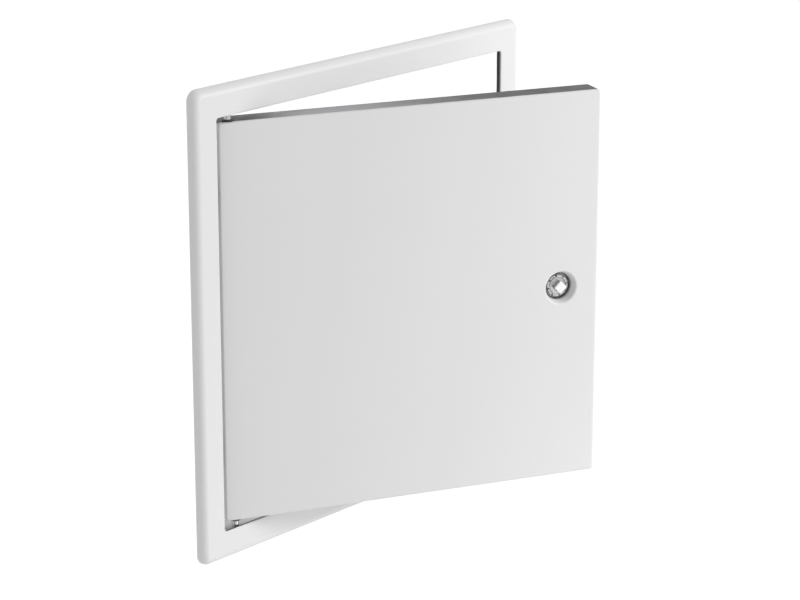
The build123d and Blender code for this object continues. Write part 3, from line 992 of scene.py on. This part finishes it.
class PANEL_OT_lock(bpy.types.Operator):
    """Build the lock: housing, nut and turning spindle"""

    bl_idname = "access_panel.lock"
    bl_label = "Build lock"

    def execute(self, context):
        finish, sizes = context.scene.panel_finish, context.scene.panel_sizes
        casting, plating, steel = lock_casting(finish), key_plating(finish), pin_steel(finish)
        housing = [(lock_housing(sizes), True)]
        nut = [(lock_nut(), True)]
        core = [(lock_spindle(sizes), False)]
        add_piece("cast_housing", housing, casting, "door", "lock_housing")
        add_piece("coned_nut", nut, steel, "door", "lock_nut")
        add_piece("square_core", core, plating, "lock", "lock_spindle")
        return {"FINISHED"}


class PANEL_OT_cam(bpy.types.Operator):
    """Stamp the cam and turn its bolt"""

    bl_idname = "access_panel.cam"
    bl_label = "Build cam"

    def execute(self, context):
        finish, sizes = context.scene.panel_finish, context.scene.panel_sizes
        zinc, steel = zinc_sheet(finish), pin_steel(finish)
        cam = [(cam_tongue(sizes), True)]
        add_piece("stamped_cam", cam, zinc, "lock", "cam_tongue")
        add_piece("hexagon_bolt", cam_bolt(sizes), steel, "lock", "cam_bolt")
        return {"FINISHED"}


class PANEL_OT_stage(bpy.types.Operator):
    """Set the sky, floor, lamps and camera"""

    bl_idname = "access_panel.stage"
    bl_label = "Set stage"

    def execute(self, context):
        scene, settings = context.scene, context.scene.panel_stage
        self.sky(scene, settings.sky)
        self.floor(scene, RIM_LOW.z - settings.floor_drop)
        self.lamp(scene, "key_lamp", *KEY_LAMP, settings.key_power)
        self.lamp(scene, "low_lamp", *LOW_LAMP, settings.low_power)
        self.camera(scene, settings)
        scene.view_settings.view_transform = "Standard"
        return {"FINISHED"}

    def sky(self, scene, strength):
        """Even light on the object; plain white where the camera and shiny metal look past it."""
        world = bpy.data.worlds.new("studio")
        world.use_nodes = True
        scene.world = world
        nodes, links = world.node_tree.nodes, world.node_tree.links
        path = nodes.new("ShaderNodeLightPath")
        seen = path.outputs[SEEN_BY[0]]
        for ray in SEEN_BY[1:]:
            either = nodes.new("ShaderNodeMath")
            either.operation = "MAXIMUM"
            links.new(seen, either.inputs[0])
            links.new(path.outputs[ray], either.inputs[1])
            seen = either.outputs[0]
        level = nodes.new("ShaderNodeMapRange")
        links.new(seen, level.inputs["Value"])
        level.inputs["To Min"].default_value = strength
        links.new(level.outputs["Result"], nodes["Background"].inputs["Strength"])
        nodes["Background"].inputs["Color"].default_value = WHITE

    def floor(self, scene, height):
        """A pale round floor: rings of growing radius, seen as white."""
        radius = np.linspace(0.0, FLOOR_RADIUS, 13)[:, None]
        angle = angles(turns=96)
        grid = np.stack(np.broadcast_arrays(radius * np.cos(angle), radius * np.sin(angle), height), -1)
        floor = bpy.data.objects.new("studio_floor", surface_mesh("studio_floor", [(grid, False)]))
        scene.collection.objects.link(floor)
        book = Book("floor_white")
        camera, glossy, through = (book.add("ShaderNodeLightPath", output=ray) for ray in SEEN_BY)
        seen = camera.most(glossy).most(through)
        glow = book.blend(seen, BLACK, FLOOR_GLOW)
        book.shade(Base_Color=FLOOR_COLOUR, Roughness=0.9, Emission_Color=glow, Emission_Strength=1.0)
        floor.data.materials.append(book.material)

    def lamp(self, scene, name, place, size, watts):
        """A soft round lamp turned to the panel and hidden from the camera."""
        data = bpy.data.lights.new(name, "AREA")
        data.shape = "DISK"
        data.size = size
        data.energy = watts
        lamp = bpy.data.objects.new(name, data)
        scene.collection.objects.link(lamp)
        lamp.location = place
        lamp.rotation_euler = (-Vector(place)).to_track_quat("-Z", "Y").to_euler()
        lamp.visible_camera = False

    def camera(self, scene, settings):
        """A long lens at the photograph's angle, aimed at a point on the wall plane."""
        yaw, pitch = settings.view_yaw, settings.view_pitch
        forward = Vector((sin(yaw) * cos(pitch), cos(yaw) * cos(pitch), -sin(pitch)))
        data = bpy.data.cameras.new("camera")
        data.sensor_width = SENSOR_WIDTH
        data.lens = settings.focal_pixels * SENSOR_WIDTH / PICTURE_WIDTH
        camera = bpy.data.objects.new("camera", data)
        scene.collection.objects.link(camera)
        aim = Vector((settings.aim_across, 0.0, -settings.aim_below))
        camera.location = aim - forward * settings.view_distance
        camera.rotation_euler = forward.to_track_quat("-Z", "Y").to_euler()
        scene.camera = camera


class PANEL_PT_sidebar(bpy.types.Panel):
    """The panel's pieces and stage"""

    bl_idname = "PANEL_PT_sidebar"
    bl_label = "Access Panel"
    bl_space_type = "VIEW_3D"
    bl_region_type = "UI"
    bl_category = "Access Panel"

    def draw(self, context):
        for operator in OPERATORS:
            self.layout.operator(operator.bl_idname)


OPERATORS = (
    PANEL_OT_coat,
    PANEL_OT_seals,
    PANEL_OT_hinges,
    PANEL_OT_brackets,
    PANEL_OT_lock,
    PANEL_OT_cam,
    PANEL_OT_stage,
)
CLASSES = (PanelFinish, PanelSizes, PanelStage, *OPERATORS, PANEL_PT_sidebar)


def register():
    """Adds the panel's settings, operators and sidebar."""
    for each in CLASSES:
        bpy.utils.register_class(each)
    bpy.types.Scene.panel_finish = PointerProperty(type=PanelFinish)
    bpy.types.Scene.panel_sizes = PointerProperty(type=PanelSizes)
    bpy.types.Scene.panel_stage = PointerProperty(type=PanelStage)


def unregister():
    """Takes them away again."""
    del bpy.types.Scene.panel_stage
    del bpy.types.Scene.panel_sizes
    del bpy.types.Scene.panel_finish
    for each in reversed(CLASSES):
        bpy.utils.unregister_class(each)


def main():
    """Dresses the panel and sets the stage."""
    register()
    bpy.ops.access_panel.coat()
    bpy.ops.access_panel.seals()
    bpy.ops.access_panel.hinges()
    bpy.ops.access_panel.brackets()
    bpy.ops.access_panel.lock()
    bpy.ops.access_panel.cam()
    bpy.ops.access_panel.stage()


if __name__ == "__main__":
    main()
